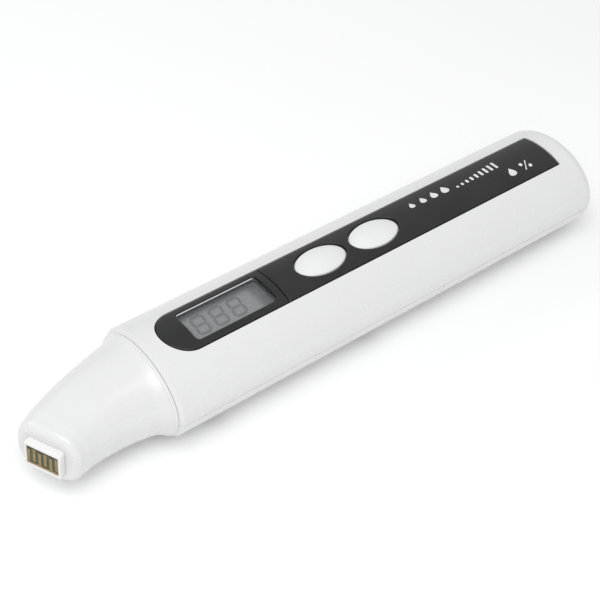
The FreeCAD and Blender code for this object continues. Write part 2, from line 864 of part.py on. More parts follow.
def contact_tab_box(x_low, x_high, side, clearance):
    """Space of a contact's solder tab, on one side of the middle."""
    low = side * tab_inner_y
    high = side * (tab_inner_y + tab_width)
    return box(x_low - clearance, x_high + clearance, min(low, high) - clearance, max(low, high) + clearance,
               split_height, tab_top + clearance)


def battery_holder():
    """Trough over the upper half of the cell, with an end wall behind each contact."""
    rear_wall_x = rear_contact_x + contact_thickness
    outer = long_rod(trough_outer_radius, holder_front_x, rear_wall_x + holder_end_wall / 2, 0, split_height)
    inner = long_rod(trough_inner_radius, front_contact_x, rear_wall_x, 0, split_height)
    trough = outer.cut(inner)
    keep_upper = slab(split_height, FAR)
    front_wall = box(holder_front_x, front_contact_x, -FAR, FAR, split_height - end_wall_drop, FAR)
    rear_wall = box(rear_wall_x, FAR, -FAR, FAR, split_height - end_wall_drop, FAR)
    kept = joined([trough.common(keep_upper), trough.common(front_wall), trough.common(rear_wall)])
    front_tab = contact_tab_box(front_contact_x, front_contact_x + contact_thickness, -1, tab_clearance)
    rear_tab = contact_tab_box(rear_contact_x, rear_wall_x, 1, tab_clearance)
    return kept.cut(front_tab.common(slab(split_height, FAR))).cut(rear_tab)


def contact_plate(x, side):
    """Sprung metal plate against an end of the cell, with a solder tab that stands above the holder."""
    plate = box(x, x + contact_thickness, -contact_half_width, contact_half_width,
                split_height - contact_half_height, split_height + contact_half_height)
    plate = plate.makeFillet(contact_corner_radius, edges_along(plate, X_AXIS))
    return joined([plate, contact_tab_box(x, x + contact_thickness, side, 0)])


def positive_contact():
    """Contact at the nub of the cell."""
    return contact_plate(front_contact_x, -1)


def negative_contact():
    """Contact behind the coil spring."""
    return contact_plate(rear_contact_x, 1)


def battery_spring():
    """Coil spring between the cell and the negative contact."""
    height = spring_length - 2 * spring_wire_radius
    helix = Part.makeHelix(height / spring_turns, height, spring_radius)
    circle = Part.makeCircle(spring_wire_radius, Vector(spring_radius, 0, 0), Vector(0, 1, 0))
    coil = Part.Wire(helix.Edges).makePipeShell([Part.Wire([circle])], True, True)
    coil.rotate(Vector(0, 0, 0), Vector(0, 1, 0), 90)
    coil.translate(Vector(battery_rear_x + spring_wire_radius, 0, split_height))
    return coil


def battery_lead(plate_x, side):
    """Wire from a contact's tab, over the battery holder, down to the main board."""
    y = side * (tab_inner_y + tab_width / 2)
    start = Vector(plate_x, y, lead_height)
    corner = Vector(lead_end_x, y, lead_height)
    end = Vector(lead_end_x, y, board_top)
    path = rounded_path([start, corner, end], lead_bend)
    circle = Part.makeCircle(lead_radius, start, X_AXIS)
    return swept(path, Part.Wire([circle]))


def main():
    """Builds every node and writes it."""
    os.makedirs("parts", exist_ok=True)
    nodes = {
        "upper_shell": upper_shell(),
        "lower_shell": lower_shell(),
        "battery_door": battery_door(),
        "nose_cone": nose_cone(),
        "sensor_holder": sensor_holder(),
        "sensor_board": sensor_board(),
        "sensor_electrodes": sensor_electrodes(),
        "sensor_ribbon": sensor_ribbon(),
        "sensor_socket": sensor_socket(),
        "display_bezel": display_bezel(),
        "display_window": display_window(),
        "button_panel": button_panel(),
        "lcd_glass": lcd_glass(),
        "lcd_reflector": lcd_reflector(),
        "lcd_holder": lcd_holder(),
        "zebra_strips": zebra_strips(),
        "main_board": main_board(),
        "controller_chip": controller_chip(),
        "board_components": board_components(),
        "power_button": button(power_button_x),
        "hold_button": button(hold_button_x),
        "power_switch_housing": switch_housing(power_button_x),
        "hold_switch_housing": switch_housing(hold_button_x),
        "power_switch_plunger": switch_plunger(power_button_x),
        "hold_switch_plunger": switch_plunger(hold_button_x),
        "case_screws": case_screws(),
        "board_screws": board_screws(),
        "battery": battery(),
        "battery_holder": battery_holder(),
        "positive_contact": positive_contact(),
        "negative_contact": negative_contact(),
        "battery_spring": battery_spring(),
        "positive_lead": battery_lead(front_contact_x, -1),
        "negative_lead": battery_lead(rear_contact_x, 1),
    }
    for name, shape in nodes.items():
        export(name, shape)
        solids = len(shape.Solids)
        print(name, "solids", solids, "valid", shape.isValid(), "volume", round(shape.Volume, 2))


main()
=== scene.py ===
# %% [markdown]
# # A pen moisture meter
# A meter like this is a white oval tube with a bent nose. It is laid against a surface, and the gold bars on
# its tip sense how damp that surface is. The CAD model comes in first as a fixed frame, where every part
# already lies in its place, in metres. This lesson gives each part its finish, makes again the parts whose
# edges catch the light, prints a few plain marks, and lights the result.

# %% Load the frame
import math
import bmesh
import bpy
import numpy as np
from mathutils import Matrix, Vector


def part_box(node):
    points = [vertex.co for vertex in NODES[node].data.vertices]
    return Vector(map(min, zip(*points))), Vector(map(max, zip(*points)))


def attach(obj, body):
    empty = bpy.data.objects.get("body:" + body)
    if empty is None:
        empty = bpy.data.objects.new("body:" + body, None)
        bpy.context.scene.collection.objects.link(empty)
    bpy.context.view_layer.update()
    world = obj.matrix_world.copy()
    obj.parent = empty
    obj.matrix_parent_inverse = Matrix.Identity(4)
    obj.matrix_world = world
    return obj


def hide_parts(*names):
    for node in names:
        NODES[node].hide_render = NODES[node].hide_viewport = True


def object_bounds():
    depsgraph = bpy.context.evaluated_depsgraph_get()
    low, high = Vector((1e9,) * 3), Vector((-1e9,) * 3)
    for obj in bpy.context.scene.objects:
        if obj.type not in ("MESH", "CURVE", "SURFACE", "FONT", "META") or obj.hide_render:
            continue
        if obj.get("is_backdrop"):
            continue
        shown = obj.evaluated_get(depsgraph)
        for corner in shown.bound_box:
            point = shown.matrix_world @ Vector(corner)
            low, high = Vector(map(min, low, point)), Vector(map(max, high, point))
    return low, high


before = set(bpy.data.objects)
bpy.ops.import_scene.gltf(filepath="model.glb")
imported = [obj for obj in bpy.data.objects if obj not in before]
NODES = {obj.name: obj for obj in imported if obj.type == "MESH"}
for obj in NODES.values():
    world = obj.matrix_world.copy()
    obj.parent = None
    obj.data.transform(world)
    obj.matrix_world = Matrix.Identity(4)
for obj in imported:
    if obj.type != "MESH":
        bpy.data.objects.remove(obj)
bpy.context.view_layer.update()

MM = 0.001

# %% [markdown]
# ## Camera
# The meter lies with its panel up, and its nose points towards us and to the left. A long lens keeps its sides
# almost parallel. The camera is placed by its position and two directions, because angles are harder to read.

# %% Camera
CAMERA_PLACE = Vector((-0.137678, -0.136358, 0.197057))
CAMERA_RIGHT = Vector((0.771155, -0.630399, 0.088980))
CAMERA_FORWARD = Vector((0.497946, 0.510142, -0.701288))
LENS_MM, SENSOR_MM = 85.23, 36.0


def add_camera():
    """A camera from its place and two directions; its up direction is square to both."""
    back = -CAMERA_FORWARD.normalized()
    right = (CAMERA_RIGHT - back * CAMERA_RIGHT.dot(back)).normalized()
    up = back.cross(right)
    turn = Matrix((right, up, back)).transposed().to_4x4()
    data = bpy.data.cameras.new("camera")
    data.lens = LENS_MM
    data.sensor_width = SENSOR_MM
    data.clip_start = 0.01
    camera = bpy.data.objects.new("camera", data)
    camera.matrix_world = Matrix.Translation(CAMERA_PLACE) @ turn
    bpy.context.scene.collection.objects.link(camera)
    bpy.context.scene.camera = camera


add_camera()
print("camera stands", round(CAMERA_PLACE.length / MM), "mm away")

# %% [markdown]
# ## Tools for surfaces
# Every new piece is a net of points that a formula gives: rows and columns, or a profile carried round a
# loop. Points that fall together, at a pole or where two nets meet, are welded into one, so each piece is
# closed like a real moulding. Edges sharper than 35 degrees stay crisp; the rest shades smoothly.

# %% Surface tools
def net_faces(rows, columns, rows_close, columns_close):
    """Corner numbers of a net's faces; a direction that closes joins its last line to its first."""
    r, c = np.meshgrid(np.arange(rows if rows_close else rows - 1),
                       np.arange(columns if columns_close else columns - 1), indexing="ij")
    r2, c2 = (r + 1) % rows, (c + 1) % columns
    corners = [r * columns + c, r2 * columns + c, r2 * columns + c2, r * columns + c2]
    return np.stack(corners, axis=-1).reshape(-1, 4)


def make_piece(name, points, faces):
    """A mesh object from whole arrays, in millimetres: welded, turned outwards and smooth-shaded."""
    mesh = bpy.data.meshes.new(name)
    mesh.from_pydata((np.asarray(points).reshape(-1, 3) * MM).tolist(), [], np.asarray(faces).tolist())
    work = bmesh.new()
    work.from_mesh(mesh)
    bmesh.ops.remove_doubles(work, verts=work.verts, dist=2e-7)
    bmesh.ops.dissolve_degenerate(work, edges=work.edges, dist=1e-8)
    bmesh.ops.recalc_face_normals(work, faces=work.faces)
    open_edges = sum(1 for edge in work.edges if len(edge.link_faces) != 2)
    work.to_mesh(mesh)
    work.free()
    mesh.polygons.foreach_set("use_smooth", np.ones(len(mesh.polygons), dtype=bool))
    mesh.set_sharp_from_angle(angle=math.radians(35))
    piece = bpy.data.objects.new(name, mesh)
    bpy.context.scene.collection.objects.link(piece)
    print(name, "has", len(mesh.polygons), "faces and", open_edges, "open edges")
    return piece


def ring_net(rows_of_points, rows_close):
    """Points and faces of rows that each close into a ring."""
    rows, columns = rows_of_points.shape[:2]
    return rows_of_points.reshape(-1, 3), net_faces(rows, columns, rows_close, True)


def rounded_rings(half_length, half_width, radius, height, steps=12):
    """Rings of rounded rectangles: each row has its own half length, half width, corner radius and height.
    Every corner is a quarter circle about a centre one radius in from both sides."""
    quarter = np.linspace(0, np.pi / 2, steps)
    angle = np.concatenate([quarter + k * np.pi / 2 for k in range(4)])
    sign_x = np.repeat([1, -1, -1, 1], steps)
    sign_y = np.repeat([1, 1, -1, -1], steps)
    a, b, r, z = (np.asarray(v, dtype=float)[:, None] for v in (half_length, half_width, radius, height))
    x = sign_x * (a - r) + r * np.cos(angle)
    y = sign_y * (b - r) + r * np.sin(angle)
    return np.stack([x, y, z + 0 * x], axis=-1)


def rounding(radius, steps=6):
    """Quarter-round edge, from the wall to the flat: how far in, and how far down, each row lies."""
    angle = np.linspace(np.pi / 2, 0, steps)
    return radius * (1 - np.sin(angle)), radius * (1 - np.cos(angle))


# %% [markdown]
# ## The oval of the casing
# The black panel lies flush in the top of the casing, so it follows the same oval: its height falls as the
# square root of one minus the squared share of the half width. These sizes come from the frame.

# %% Casing sizes
casing_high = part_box("upper_shell")[1]
half_width = casing_high.y / MM
axis_height = (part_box("lower_shell")[0].z + casing_high.z) / 2 / MM
half_height = casing_high.z / MM - axis_height
bezel_low, bezel_high = [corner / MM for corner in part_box("display_bezel")]
panel_low, panel_high = [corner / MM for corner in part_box("button_panel")]
window_low, window_high = [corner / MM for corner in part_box("display_window")]
power_low, power_high = [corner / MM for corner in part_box("power_button")]
hold_low, hold_high = [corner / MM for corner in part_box("hold_button")]
PANEL_HALF = bezel_high.y
PANEL_THICK = 0.8
BUTTON_A, BUTTON_B, BUTTON_GAP = 5.66, 3.33, 0.25
DISPLAY_X = (window_low.x + window_high.x) / 2
OPENING_LONG, OPENING_WIDE, OPENING_RADIUS = 18.0, 7.3, 0.9
POWER_X = (power_low.x + power_high.x) / 2
HOLD_X = (hold_low.x + hold_high.x) / 2


def oval_height(y, inset=0.0):
    """Height of the casing's upper side at a distance from its middle line, drawn in by inset."""
    return axis_height + (half_height - inset) * np.sqrt(1 - (y / (half_width - inset)) ** 2)


print("casing half width", round(half_width, 2), "half height", round(half_height, 2), "axis", round(axis_height, 2))
print("panel half width", round(PANEL_HALF, 2), "buttons at", round(POWER_X, 2), round(HOLD_X, 2))

# %% [markdown]
# ## Finishes
# Real plastic is never one flat colour. A moulded casing has faint flow marks, a fine grain from the mould
# and greasy patches that are a little shinier or duller. So each finish mixes two near colours with a soft
# noise, lets the roughness wander, and adds a very low bump. Sizes are in metres, so a scale of 3000 means
# grains a third of a millimetre wide.

# %% Finish tools
def node(tree, kind, **values):
    """Adds a shader node; each value sets a named input or property, with _ for a space."""
    new = tree.nodes.new(kind)
    for key, value in values.items():
        socket = new.inputs.get(key.replace("_", " "))
        if socket is not None:
            socket.default_value = value
        else:
            setattr(new, key, value)
    return new


def object_place(tree):
    """The place on the object, which noise and bands are read from."""
    return node(tree, "ShaderNodeTexCoord").outputs["Object"]


def noise(tree, scale, detail=4.0, stretch=None):
    """Soft noise at a scale, stretched along the axes when asked; the output runs from 0 to 1."""
    source = object_place(tree)
    if stretch is not None:
        mapping = node(tree, "ShaderNodeMapping", Scale=stretch)
        tree.links.new(source, mapping.inputs["Vector"])
        source = mapping.outputs["Vector"]
    texture = node(tree, "ShaderNodeTexNoise", Scale=scale, Detail=detail)
    tree.links.new(source, texture.inputs["Vector"])
    return texture.outputs["Fac"]


def calc(tree, operation, *terms):
    """A sum on signals; each term is a number or another node's output."""
    new = node(tree, "ShaderNodeMath", operation=operation)
    for socket, term in zip(new.inputs, terms):
        if isinstance(term, float):
            socket.default_value = term
        else:
            tree.links.new(term, socket)
    return new.outputs["Value"]


def ranged(tree, source, start, end, low=0.0, high=1.0):
    """Maps start to end of a signal onto low to high, and keeps it between them."""
    new = node(tree, "ShaderNodeMapRange", From_Min=start, From_Max=end, To_Min=low, To_Max=high)
    tree.links.new(source, new.inputs["Value"])
    return new.outputs["Result"]


def spread(tree, source, low, high):
    """Maps the middle of a 0-1 signal, where noise mostly lies, onto low to high."""
    return ranged(tree, source, 0.3, 0.7, low, high)


def mix_colors(tree, share, first, second):
    """Colour between two colours; each is a colour or another node's output."""
    mixer = tree.nodes.new("ShaderNodeMix")
    mixer.data_type = "RGBA"
    sockets = [s for s in mixer.inputs if s.type == "RGBA"]
    for socket, value in zip(sockets, (first, second)):
        if isinstance(value, tuple):
            socket.default_value = (*value, 1.0)
        else:
            tree.links.new(value, socket)
    tree.links.new(share, mixer.inputs["Factor"])
    return [s for s in mixer.outputs if s.type == "RGBA"][0]


def bands(tree, axis, low, high, edge=0.01):
    """1 between two places along an axis and 0 elsewhere, in millimetres, with edges as soft as asked."""
    split = node(tree, "ShaderNodeSeparateXYZ")
    tree.links.new(object_place(tree), split.inputs["Vector"])
    rise = ranged(tree, split.outputs[axis], (low - edge) * MM, (low + edge) * MM)
    fall = ranged(tree, split.outputs[axis], (high + edge) * MM, (high - edge) * MM)
    return calc(tree, "MULTIPLY", rise, fall)


def finish(name, first, second, patch=250.0, grain=3000.0, rough=(0.25, 0.35), bump=0.1, stretch=None,
           metallic=0.0, coat=0.0):
    """A finish of two near colours in soft patches, with wandering roughness and a fine grain."""
    material = bpy.data.materials.new(name)
    material.use_nodes = True
    tree = material.node_tree
    shader = tree.nodes["Principled BSDF"]
    shader.inputs["Metallic"].default_value = metallic
    shader.inputs["Coat Weight"].default_value = coat
    shader.inputs["Coat Roughness"].default_value = 0.06
    color = mix_colors(tree, spread(tree, noise(tree, patch), 0, 1), first, second)
    tree.links.new(color, shader.inputs["Base Color"])
    tree.links.new(spread(tree, noise(tree, patch * 2.3, 6.0), *rough), shader.inputs["Roughness"])
    relief = node(tree, "ShaderNodeBump", Strength=bump, Distance=0.05 * MM)
    tree.links.new(noise(tree, grain, 3.0, stretch), relief.inputs["Height"])
    tree.links.new(relief.outputs["Normal"], shader.inputs["Normal"])
    return material


def recolor(material, share, color):
    """Lays a colour over a finish where the share is 1."""
    tree = material.node_tree
    shader = tree.nodes["Principled BSDF"]
    under = shader.inputs["Base Color"].links[0].from_socket
    tree.links.new(mix_colors(tree, share, under, color), shader.inputs["Base Color"])


def roughen(material, share, rise):
    """Adds to a finish's roughness where the share is 1."""
    tree = material.node_tree
    shader = tree.nodes["Principled BSDF"]
    under = shader.inputs["Roughness"].links[0].from_socket
    tree.links.new(calc(tree, "MULTIPLY_ADD", share, rise, under), shader.inputs["Roughness"])


def stripes(tree, scale, axis, sharp=0.02):
    """Even stripes across an axis, as a 0-1 signal with crisp edges. The wave texture repeats every
    2 pi / 20 / scale metres, so a scale of 500 gives a stripe every 0.63 mm."""
    texture = node(tree, "ShaderNodeTexWave", Scale=scale, wave_type="BANDS", bands_direction=axis)
    tree.links.new(object_place(tree), texture.inputs["Vector"])
    return ranged(tree, texture.outputs["Fac"], 0.5 - sharp, 0.5 + sharp)


# %% [markdown]
# ### White plastic
# The casing, door and nose are one glossy white plastic. It is not quite neutral: a hint of warmth in the
# thick places, and a shine that is broken by very fine grain. The buttons and the boss on the tip are satin,
# so their grain is coarser and their shine wider.

# %% White finishes
casing_white = finish("casing_white", (0.730, 0.730, 0.728), (0.740, 0.740, 0.740), patch=90.0, grain=2600.0,
                      rough=(0.265, 0.285), bump=0.012)
boss_white = finish("boss_white", (0.77, 0.77, 0.765), (0.80, 0.80, 0.795), patch=600.0, grain=5200.0,
                    rough=(0.32, 0.42), bump=0.12)
button_white = finish("button_white", (0.755, 0.755, 0.755), (0.775, 0.775, 0.78), patch=400.0, grain=4200.0,
                      rough=(0.30, 0.40), bump=0.08)
holder_white = finish("holder_white", (0.62, 0.62, 0.58), (0.68, 0.68, 0.64), patch=500.0, grain=3600.0,
                      rough=(0.45, 0.6), bump=0.2)
socket_ivory = finish("socket_ivory", (0.70, 0.66, 0.52), (0.76, 0.72, 0.58), patch=900.0, grain=6000.0,
                      rough=(0.4, 0.55), bump=0.2)
print("white finishes:", casing_white.name, boss_white.name, button_white.name)

# %% [markdown]
# ### Black panel and display
# The panel is black plastic with a hard polish: dark, with soft reflections and the odd greasy patch. Its
# outermost edge lies in the gap to the casing, where little light reaches, so a band there is painted near
# black as painted shade, and made duller. The display is grey glass. Its middle is lighter, where the light
# comes back from the silver film under it, and its border is darker, where the glue line runs. The window
# over it is clear: light that meets it at a low angle glances off, and the rest passes through.

# %% Black and clear finishes
panel_black = finish("panel_black", (0.013, 0.013, 0.0135), (0.018, 0.018, 0.0185), patch=160.0, grain=2400.0,
                     rough=(0.26, 0.31), bump=0.03)


def edge_band(tree, inner, outer):
    """0 up to the distance inner from the panel's middle line and 1 from the distance outer, in millimetres:
    straight along the sides and round the half circle in front."""
    split = node(tree, "ShaderNodeSeparateXYZ")
    tree.links.new(object_place(tree), split.inputs["Vector"])
    past = calc(tree, "SUBTRACT", split.outputs["X"], (bezel_low.x + PANEL_HALF) * MM)
    flat = node(tree, "ShaderNodeCombineXYZ")
    tree.links.new(calc(tree, "MINIMUM", past, 0.0), flat.inputs["X"])
    tree.links.new(split.outputs["Y"], flat.inputs["Y"])
    length = node(tree, "ShaderNodeVectorMath", operation="LENGTH")
    tree.links.new(flat.outputs["Vector"], length.inputs[0])
    return ranged(tree, length.outputs["Value"], inner * MM, outer * MM)


DARK_RIM, SOFT_EDGE = 0.20, 0.06
# Painted shade: the outermost band of the panel is painted near black where the gap to the casing shades it, and is
# also made rougher.
rim_shade_share = edge_band(panel_black.node_tree, PANEL_HALF - DARK_RIM - SOFT_EDGE, PANEL_HALF - DARK_RIM)
recolor(panel_black, rim_shade_share, (0.002, 0.002, 0.002))
roughen(panel_black, rim_shade_share, 0.6)
switch_black = finish("switch_black", (0.02, 0.02, 0.02), (0.035, 0.035, 0.035), patch=900.0, grain=6000.0,
                      rough=(0.45, 0.6), bump=0.3)
trough_black = finish("trough_black", (0.03, 0.03, 0.033), (0.045, 0.045, 0.048), patch=300.0, grain=3000.0,
                      rough=(0.4, 0.55), bump=0.3)
resin_black = finish("resin_black", (0.01, 0.01, 0.01), (0.02, 0.02, 0.02), patch=700.0, grain=1200.0,
                     rough=(0.12, 0.3), bump=0.5, coat=0.5)
lcd_grey = finish("lcd_grey", (0.165, 0.170, 0.171), (0.185, 0.190, 0.191), patch=350.0, grain=9000.0,
                  rough=(0.22, 0.3), bump=0.05)
ACTIVE_FRONT, ACTIVE_REAR, ACTIVE_RIGHT, ACTIVE_LEFT = -8.3, 6.6, -2.9, 2.7
active_along = bands(lcd_grey.node_tree, "X", DISPLAY_X + ACTIVE_FRONT, DISPLAY_X + ACTIVE_REAR, 0.6)
active_across = bands(lcd_grey.node_tree, "Y", ACTIVE_RIGHT, ACTIVE_LEFT, 0.45)
recolor(lcd_grey, calc(lcd_grey.node_tree, "MULTIPLY", active_along, active_across), (0.300, 0.308, 0.308))
segment_grey = finish("segment_grey", (0.195, 0.20, 0.20), (0.21, 0.215, 0.215), patch=800.0, grain=9000.0,
                      rough=(0.25, 0.35), bump=0.05)
WALL_FOOT, POLISH_HIGH, HIGHLIGHT_STRIP = 0.16, 0.12, 0.38


def clear_plastic():
    """Clear plastic: a mix of see-through and shiny, where low angles give more shine. Only its outside
    shines, so that no light is caught between its faces. Its side walls are frosted grey, and a band on the
    rounded edge along one side is painted light grey: a painted highlight for the light that leaves the plate there."""
    material = bpy.data.materials.new("clear_plastic")
    material.use_nodes = True
    tree = material.node_tree
    shine = node(tree, "ShaderNodeBsdfGlossy")
    clear = node(tree, "ShaderNodeBsdfTransparent", Color=(0.95, 0.955, 0.96, 1.0))
    angle = node(tree, "ShaderNodeFresnel", IOR=1.49)
    side = node(tree, "ShaderNodeNewGeometry")
    outside = calc(tree, "SUBTRACT", 1.0, side.outputs["Backfacing"])
    share = calc(tree, "MULTIPLY", angle.outputs["Fac"], outside)
    relief = node(tree, "ShaderNodeBump", Strength=0.04, Distance=0.05 * MM)
    tree.links.new(noise(tree, 700.0, 2.0), relief.inputs["Height"])
    tree.links.new(relief.outputs["Normal"], shine.inputs["Normal"])
    tree.links.new(spread(tree, noise(tree, 300.0, 5.0), 0.03, 0.09), shine.inputs["Roughness"])
    walls = node(tree, "ShaderNodeBsdfDiffuse", Color=(0.11, 0.113, 0.115, 1.0))
    # Painted highlight: a light grey diffuse colour laid on the rounded top edge along one long side.
    painted_highlight = node(tree, "ShaderNodeBsdfDiffuse", Color=(0.55, 0.56, 0.57, 1.0))
    polish_foot = window_high.z - POLISH_HIGH
    wall_band = bands(tree, "Z", window_low.z + WALL_FOOT, polish_foot)
    # Where the painted highlight lies: the rounded top edge, on one long side only.
    highlight_band = calc(tree, "MULTIPLY", bands(tree, "Z", polish_foot, window_high.z + POLISH_HIGH),
                    bands(tree, "Y", OPENING_WIDE / 2 - HIGHLIGHT_STRIP, OPENING_WIDE, 0.04))
    surface = clear.outputs["BSDF"]
    for mask, over in ((share, shine), (wall_band, walls), (highlight_band, painted_highlight)):
        mixer = node(tree, "ShaderNodeMixShader")
        tree.links.new(mask, mixer.inputs["Fac"])
        tree.links.new(surface, mixer.inputs[1])
        tree.links.new(over.outputs["BSDF"], mixer.inputs[2])
        surface = mixer.outputs["Shader"]
    tree.links.new(surface, tree.nodes["Material Output"].inputs["Surface"])
    return material


window_clear = clear_plastic()
print("display finishes:", lcd_grey.name, segment_grey.name, window_clear.name)

# %% [markdown]
# ### Metal, film and rubber
# The sensor bars are gold over nickel, brushed along their length, with a dark olive band painted under the upper rim
# as painted shade.
# Screws are zinc, bright with a yellow tinge. The contacts and the spring are nickel. The zebra strips are
# rubber with thin conducting stripes, and the flat ribbon is amber film with a copper track.

# %% Metal, film and rubber finishes
gold = finish("gold", (0.27, 0.185, 0.085), (0.36, 0.26, 0.12), patch=1500.0, grain=4000.0, rough=(0.30, 0.42),
              bump=0.25, stretch=(1, 1, 0.1), metallic=1.0)
# Painted shade: a dark olive band over the top of the bars, where the rim of the boss shades them.
RIM_SHADE_FROM, RIM_SHADE_TO = 1.72, 3.0
recolor(gold, bands(gold.node_tree, "Z", axis_height + RIM_SHADE_FROM, axis_height + RIM_SHADE_TO, 0.1),
        (0.055, 0.050, 0.018))
zinc = finish("zinc", (0.55, 0.54, 0.50), (0.66, 0.65, 0.62), patch=900.0, grain=5000.0, rough=(0.25, 0.42),
              bump=0.3, metallic=1.0)
nickel = finish("nickel", (0.62, 0.61, 0.58), (0.72, 0.71, 0.69), patch=700.0, grain=4000.0, rough=(0.16, 0.3),
                bump=0.2, stretch=(1, 0.1, 1), metallic=1.0)
silver_film = finish("silver_film", (0.60, 0.61, 0.61), (0.68, 0.69, 0.69), patch=500.0, grain=7000.0,
                     rough=(0.35, 0.5), bump=0.2, metallic=0.9)
zebra = finish("zebra", (0.20, 0.20, 0.22), (0.25, 0.25, 0.27), patch=800.0, grain=5000.0, rough=(0.6, 0.75),
               bump=0.2)
recolor(zebra, stripes(zebra.node_tree, 500.0, "X"), (0.015, 0.015, 0.015))
ribbon_amber = finish("ribbon_amber", (0.40, 0.19, 0.035), (0.48, 0.24, 0.05), patch=300.0, grain=2500.0,
                      rough=(0.2, 0.35), bump=0.1, coat=0.3)
recolor(ribbon_amber, stripes(ribbon_amber.node_tree, 100.0, "Z"), (0.62, 0.34, 0.14))
brown_plastic = finish("brown_plastic", (0.16, 0.07, 0.03), (0.21, 0.10, 0.05), patch=900.0, grain=5000.0,
                       rough=(0.35, 0.5), bump=0.2)
red_wire = finish("red_wire", (0.50, 0.02, 0.015), (0.58, 0.035, 0.025), patch=500.0, grain=3500.0,
                  rough=(0.35, 0.5), bump=0.2)
black_wire = finish("black_wire", (0.012, 0.012, 0.012), (0.022, 0.022, 0.022), patch=500.0, grain=3500.0,
                    rough=(0.35, 0.5), bump=0.2)
print("metal finishes:", gold.name, zinc.name, nickel.name, silver_film.name)

# %% [markdown]
# ### Circuit boards, chips and cell
# A circuit board is green lacquer over copper: where a track runs under the lacquer the green is lighter.
# The tracks follow the borders of square cells here, thin as on a real board. The small chips are ceramic
# with tinned ends. The cell has a printed wrap: a dark body, an ochre and a pale ring near one end, and bare
# metal at both ends.

# %% Board, chip and cell finishes
def board_finish(name, dark, light, scale):
    """Green lacquer with lighter tracks along the borders of square cells."""
    material = finish(name, dark, tuple(c * 1.15 for c in dark), patch=400.0, grain=5000.0, rough=(0.3, 0.45),
                      bump=0.2, coat=0.2)
    tree = material.node_tree
    distances = []
    for feature in ("F2", "F1"):
        cells = node(tree, "ShaderNodeTexVoronoi", Scale=scale, feature=feature, distance="CHEBYCHEV")
        tree.links.new(object_place(tree), cells.inputs["Vector"])
        distances.append(cells.outputs["Distance"])
    recolor(material, ranged(tree, calc(tree, "SUBTRACT", *distances), 0.10, 0.07), light)
    return material


board_green = board_finish("board_green", (0.012, 0.085, 0.035), (0.03, 0.17, 0.07), 420.0)
sensor_green = board_finish("sensor_green", (0.012, 0.036, 0.014), (0.030, 0.060, 0.022), 2600.0)
chip_ceramic = finish("chip_ceramic", (0.20, 0.15, 0.10), (0.26, 0.20, 0.14), patch=1500.0, grain=8000.0,
                      rough=(0.35, 0.5), bump=0.2)
chip_low, chip_high = [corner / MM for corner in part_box("board_components")]
CHIP_COLUMNS, CHIP_LONG, TIN, TINNED_END = 5, 2.0, (0.62, 0.62, 0.60), 0.4
for column in range(CHIP_COLUMNS):
    start = chip_low.x + column * (chip_high.x - chip_low.x - CHIP_LONG) / (CHIP_COLUMNS - 1)
    end = start + CHIP_LONG
    recolor(chip_ceramic, bands(chip_ceramic.node_tree, "X", start - 0.1, start + TINNED_END), TIN)
    recolor(chip_ceramic, bands(chip_ceramic.node_tree, "X", end - TINNED_END, end + 0.1), TIN)
cell_low, cell_high = [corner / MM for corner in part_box("battery")]
cell_wrap = finish("cell_wrap", (0.012, 0.045, 0.16), (0.016, 0.055, 0.19), patch=200.0, grain=2500.0,
                   rough=(0.2, 0.3), bump=0.08, coat=0.4)
BARE_METAL, OCHRE, PALE = (0.6, 0.6, 0.58), (0.60, 0.42, 0.10), (0.75, 0.75, 0.75)
for low, high, color in ((cell_low.x + 1.6, cell_low.x + 8.0, OCHRE), (cell_low.x + 8.6, cell_low.x + 9.1, PALE),
                         (cell_low.x - 1.0, cell_low.x + 0.9, BARE_METAL),
                         (cell_high.x - 0.3, cell_high.x + 1.0, BARE_METAL)):
    recolor(cell_wrap, bands(cell_wrap.node_tree, "X", low, high), color)
print("board finishes:", board_green.name, sensor_green.name, chip_ceramic.name, cell_wrap.name)

# %% [markdown]
# ### Which part wears what
# Parts that come out of one mould material share one finish, as they would in the factory. The table reads
# from finish to parts, so a part that was forgotten shows up in the count that the cell prints.

# %% Give every CAD part its finish
FINISHES = {
    casing_white: ("upper_shell", "lower_shell", "battery_door", "nose_cone"),
    boss_white: ("sensor_holder",),
    button_white: ("power_button", "hold_button"),
    holder_white: ("lcd_holder",),
    socket_ivory: ("sensor_socket",),
    panel_black: ("display_bezel", "button_panel"),
    window_clear: ("display_window",),
    lcd_grey: ("lcd_glass",),
    silver_film: ("lcd_reflector",),
    zebra: ("zebra_strips",),
    board_green: ("main_board",),
    sensor_green: ("sensor_board",),
    gold: ("sensor_electrodes",),
    ribbon_amber: ("sensor_ribbon",),
    resin_black: ("controller_chip",),
    chip_ceramic: ("board_components",),
    switch_black: ("power_switch_housing", "hold_switch_housing"),
    brown_plastic: ("power_switch_plunger", "hold_switch_plunger"),
    zinc: ("case_screws", "board_screws"),
    cell_wrap: ("battery",),
    trough_black: ("battery_holder",),
    nickel: ("positive_contact", "negative_contact", "battery_spring"),
    red_wire: ("positive_lead",),
    black_wire: ("negative_lead",),
}


def wear(piece, material):
    """Puts one finish on the whole of a piece."""
    slots = piece.data.materials
    slots.clear()
    slots.append(material)


def dress(piece, material, body, replaced=None):
    """Finishes a new piece in its material slot, ties it to the body it moves with, and hides the CAD part
    whose place it takes."""
    wear(piece, material)
    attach(piece, body)
    if replaced:
        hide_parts(replaced)


for material, names in FINISHES.items():
    for name in names:
        wear(NODES[name], material)
print("parts with a finish:", sum(len(names) for names in FINISHES.values()), "of", len(NODES))

# %% [markdown]
# ## The black panel
# The panel is moulded as a thin curved sheet with softly broken edges. It could be bent from a flat net, but
# it is simpler to lay the net out in plan and then read each point's height from the oval. The edge is a
# quarter round: each row near it lies a little lower. At the groove between the two sections the round is
# squeezed to a quarter of its width, so that the groove reads as a thin line. The underside is the same net
# on the oval one thickness further in.

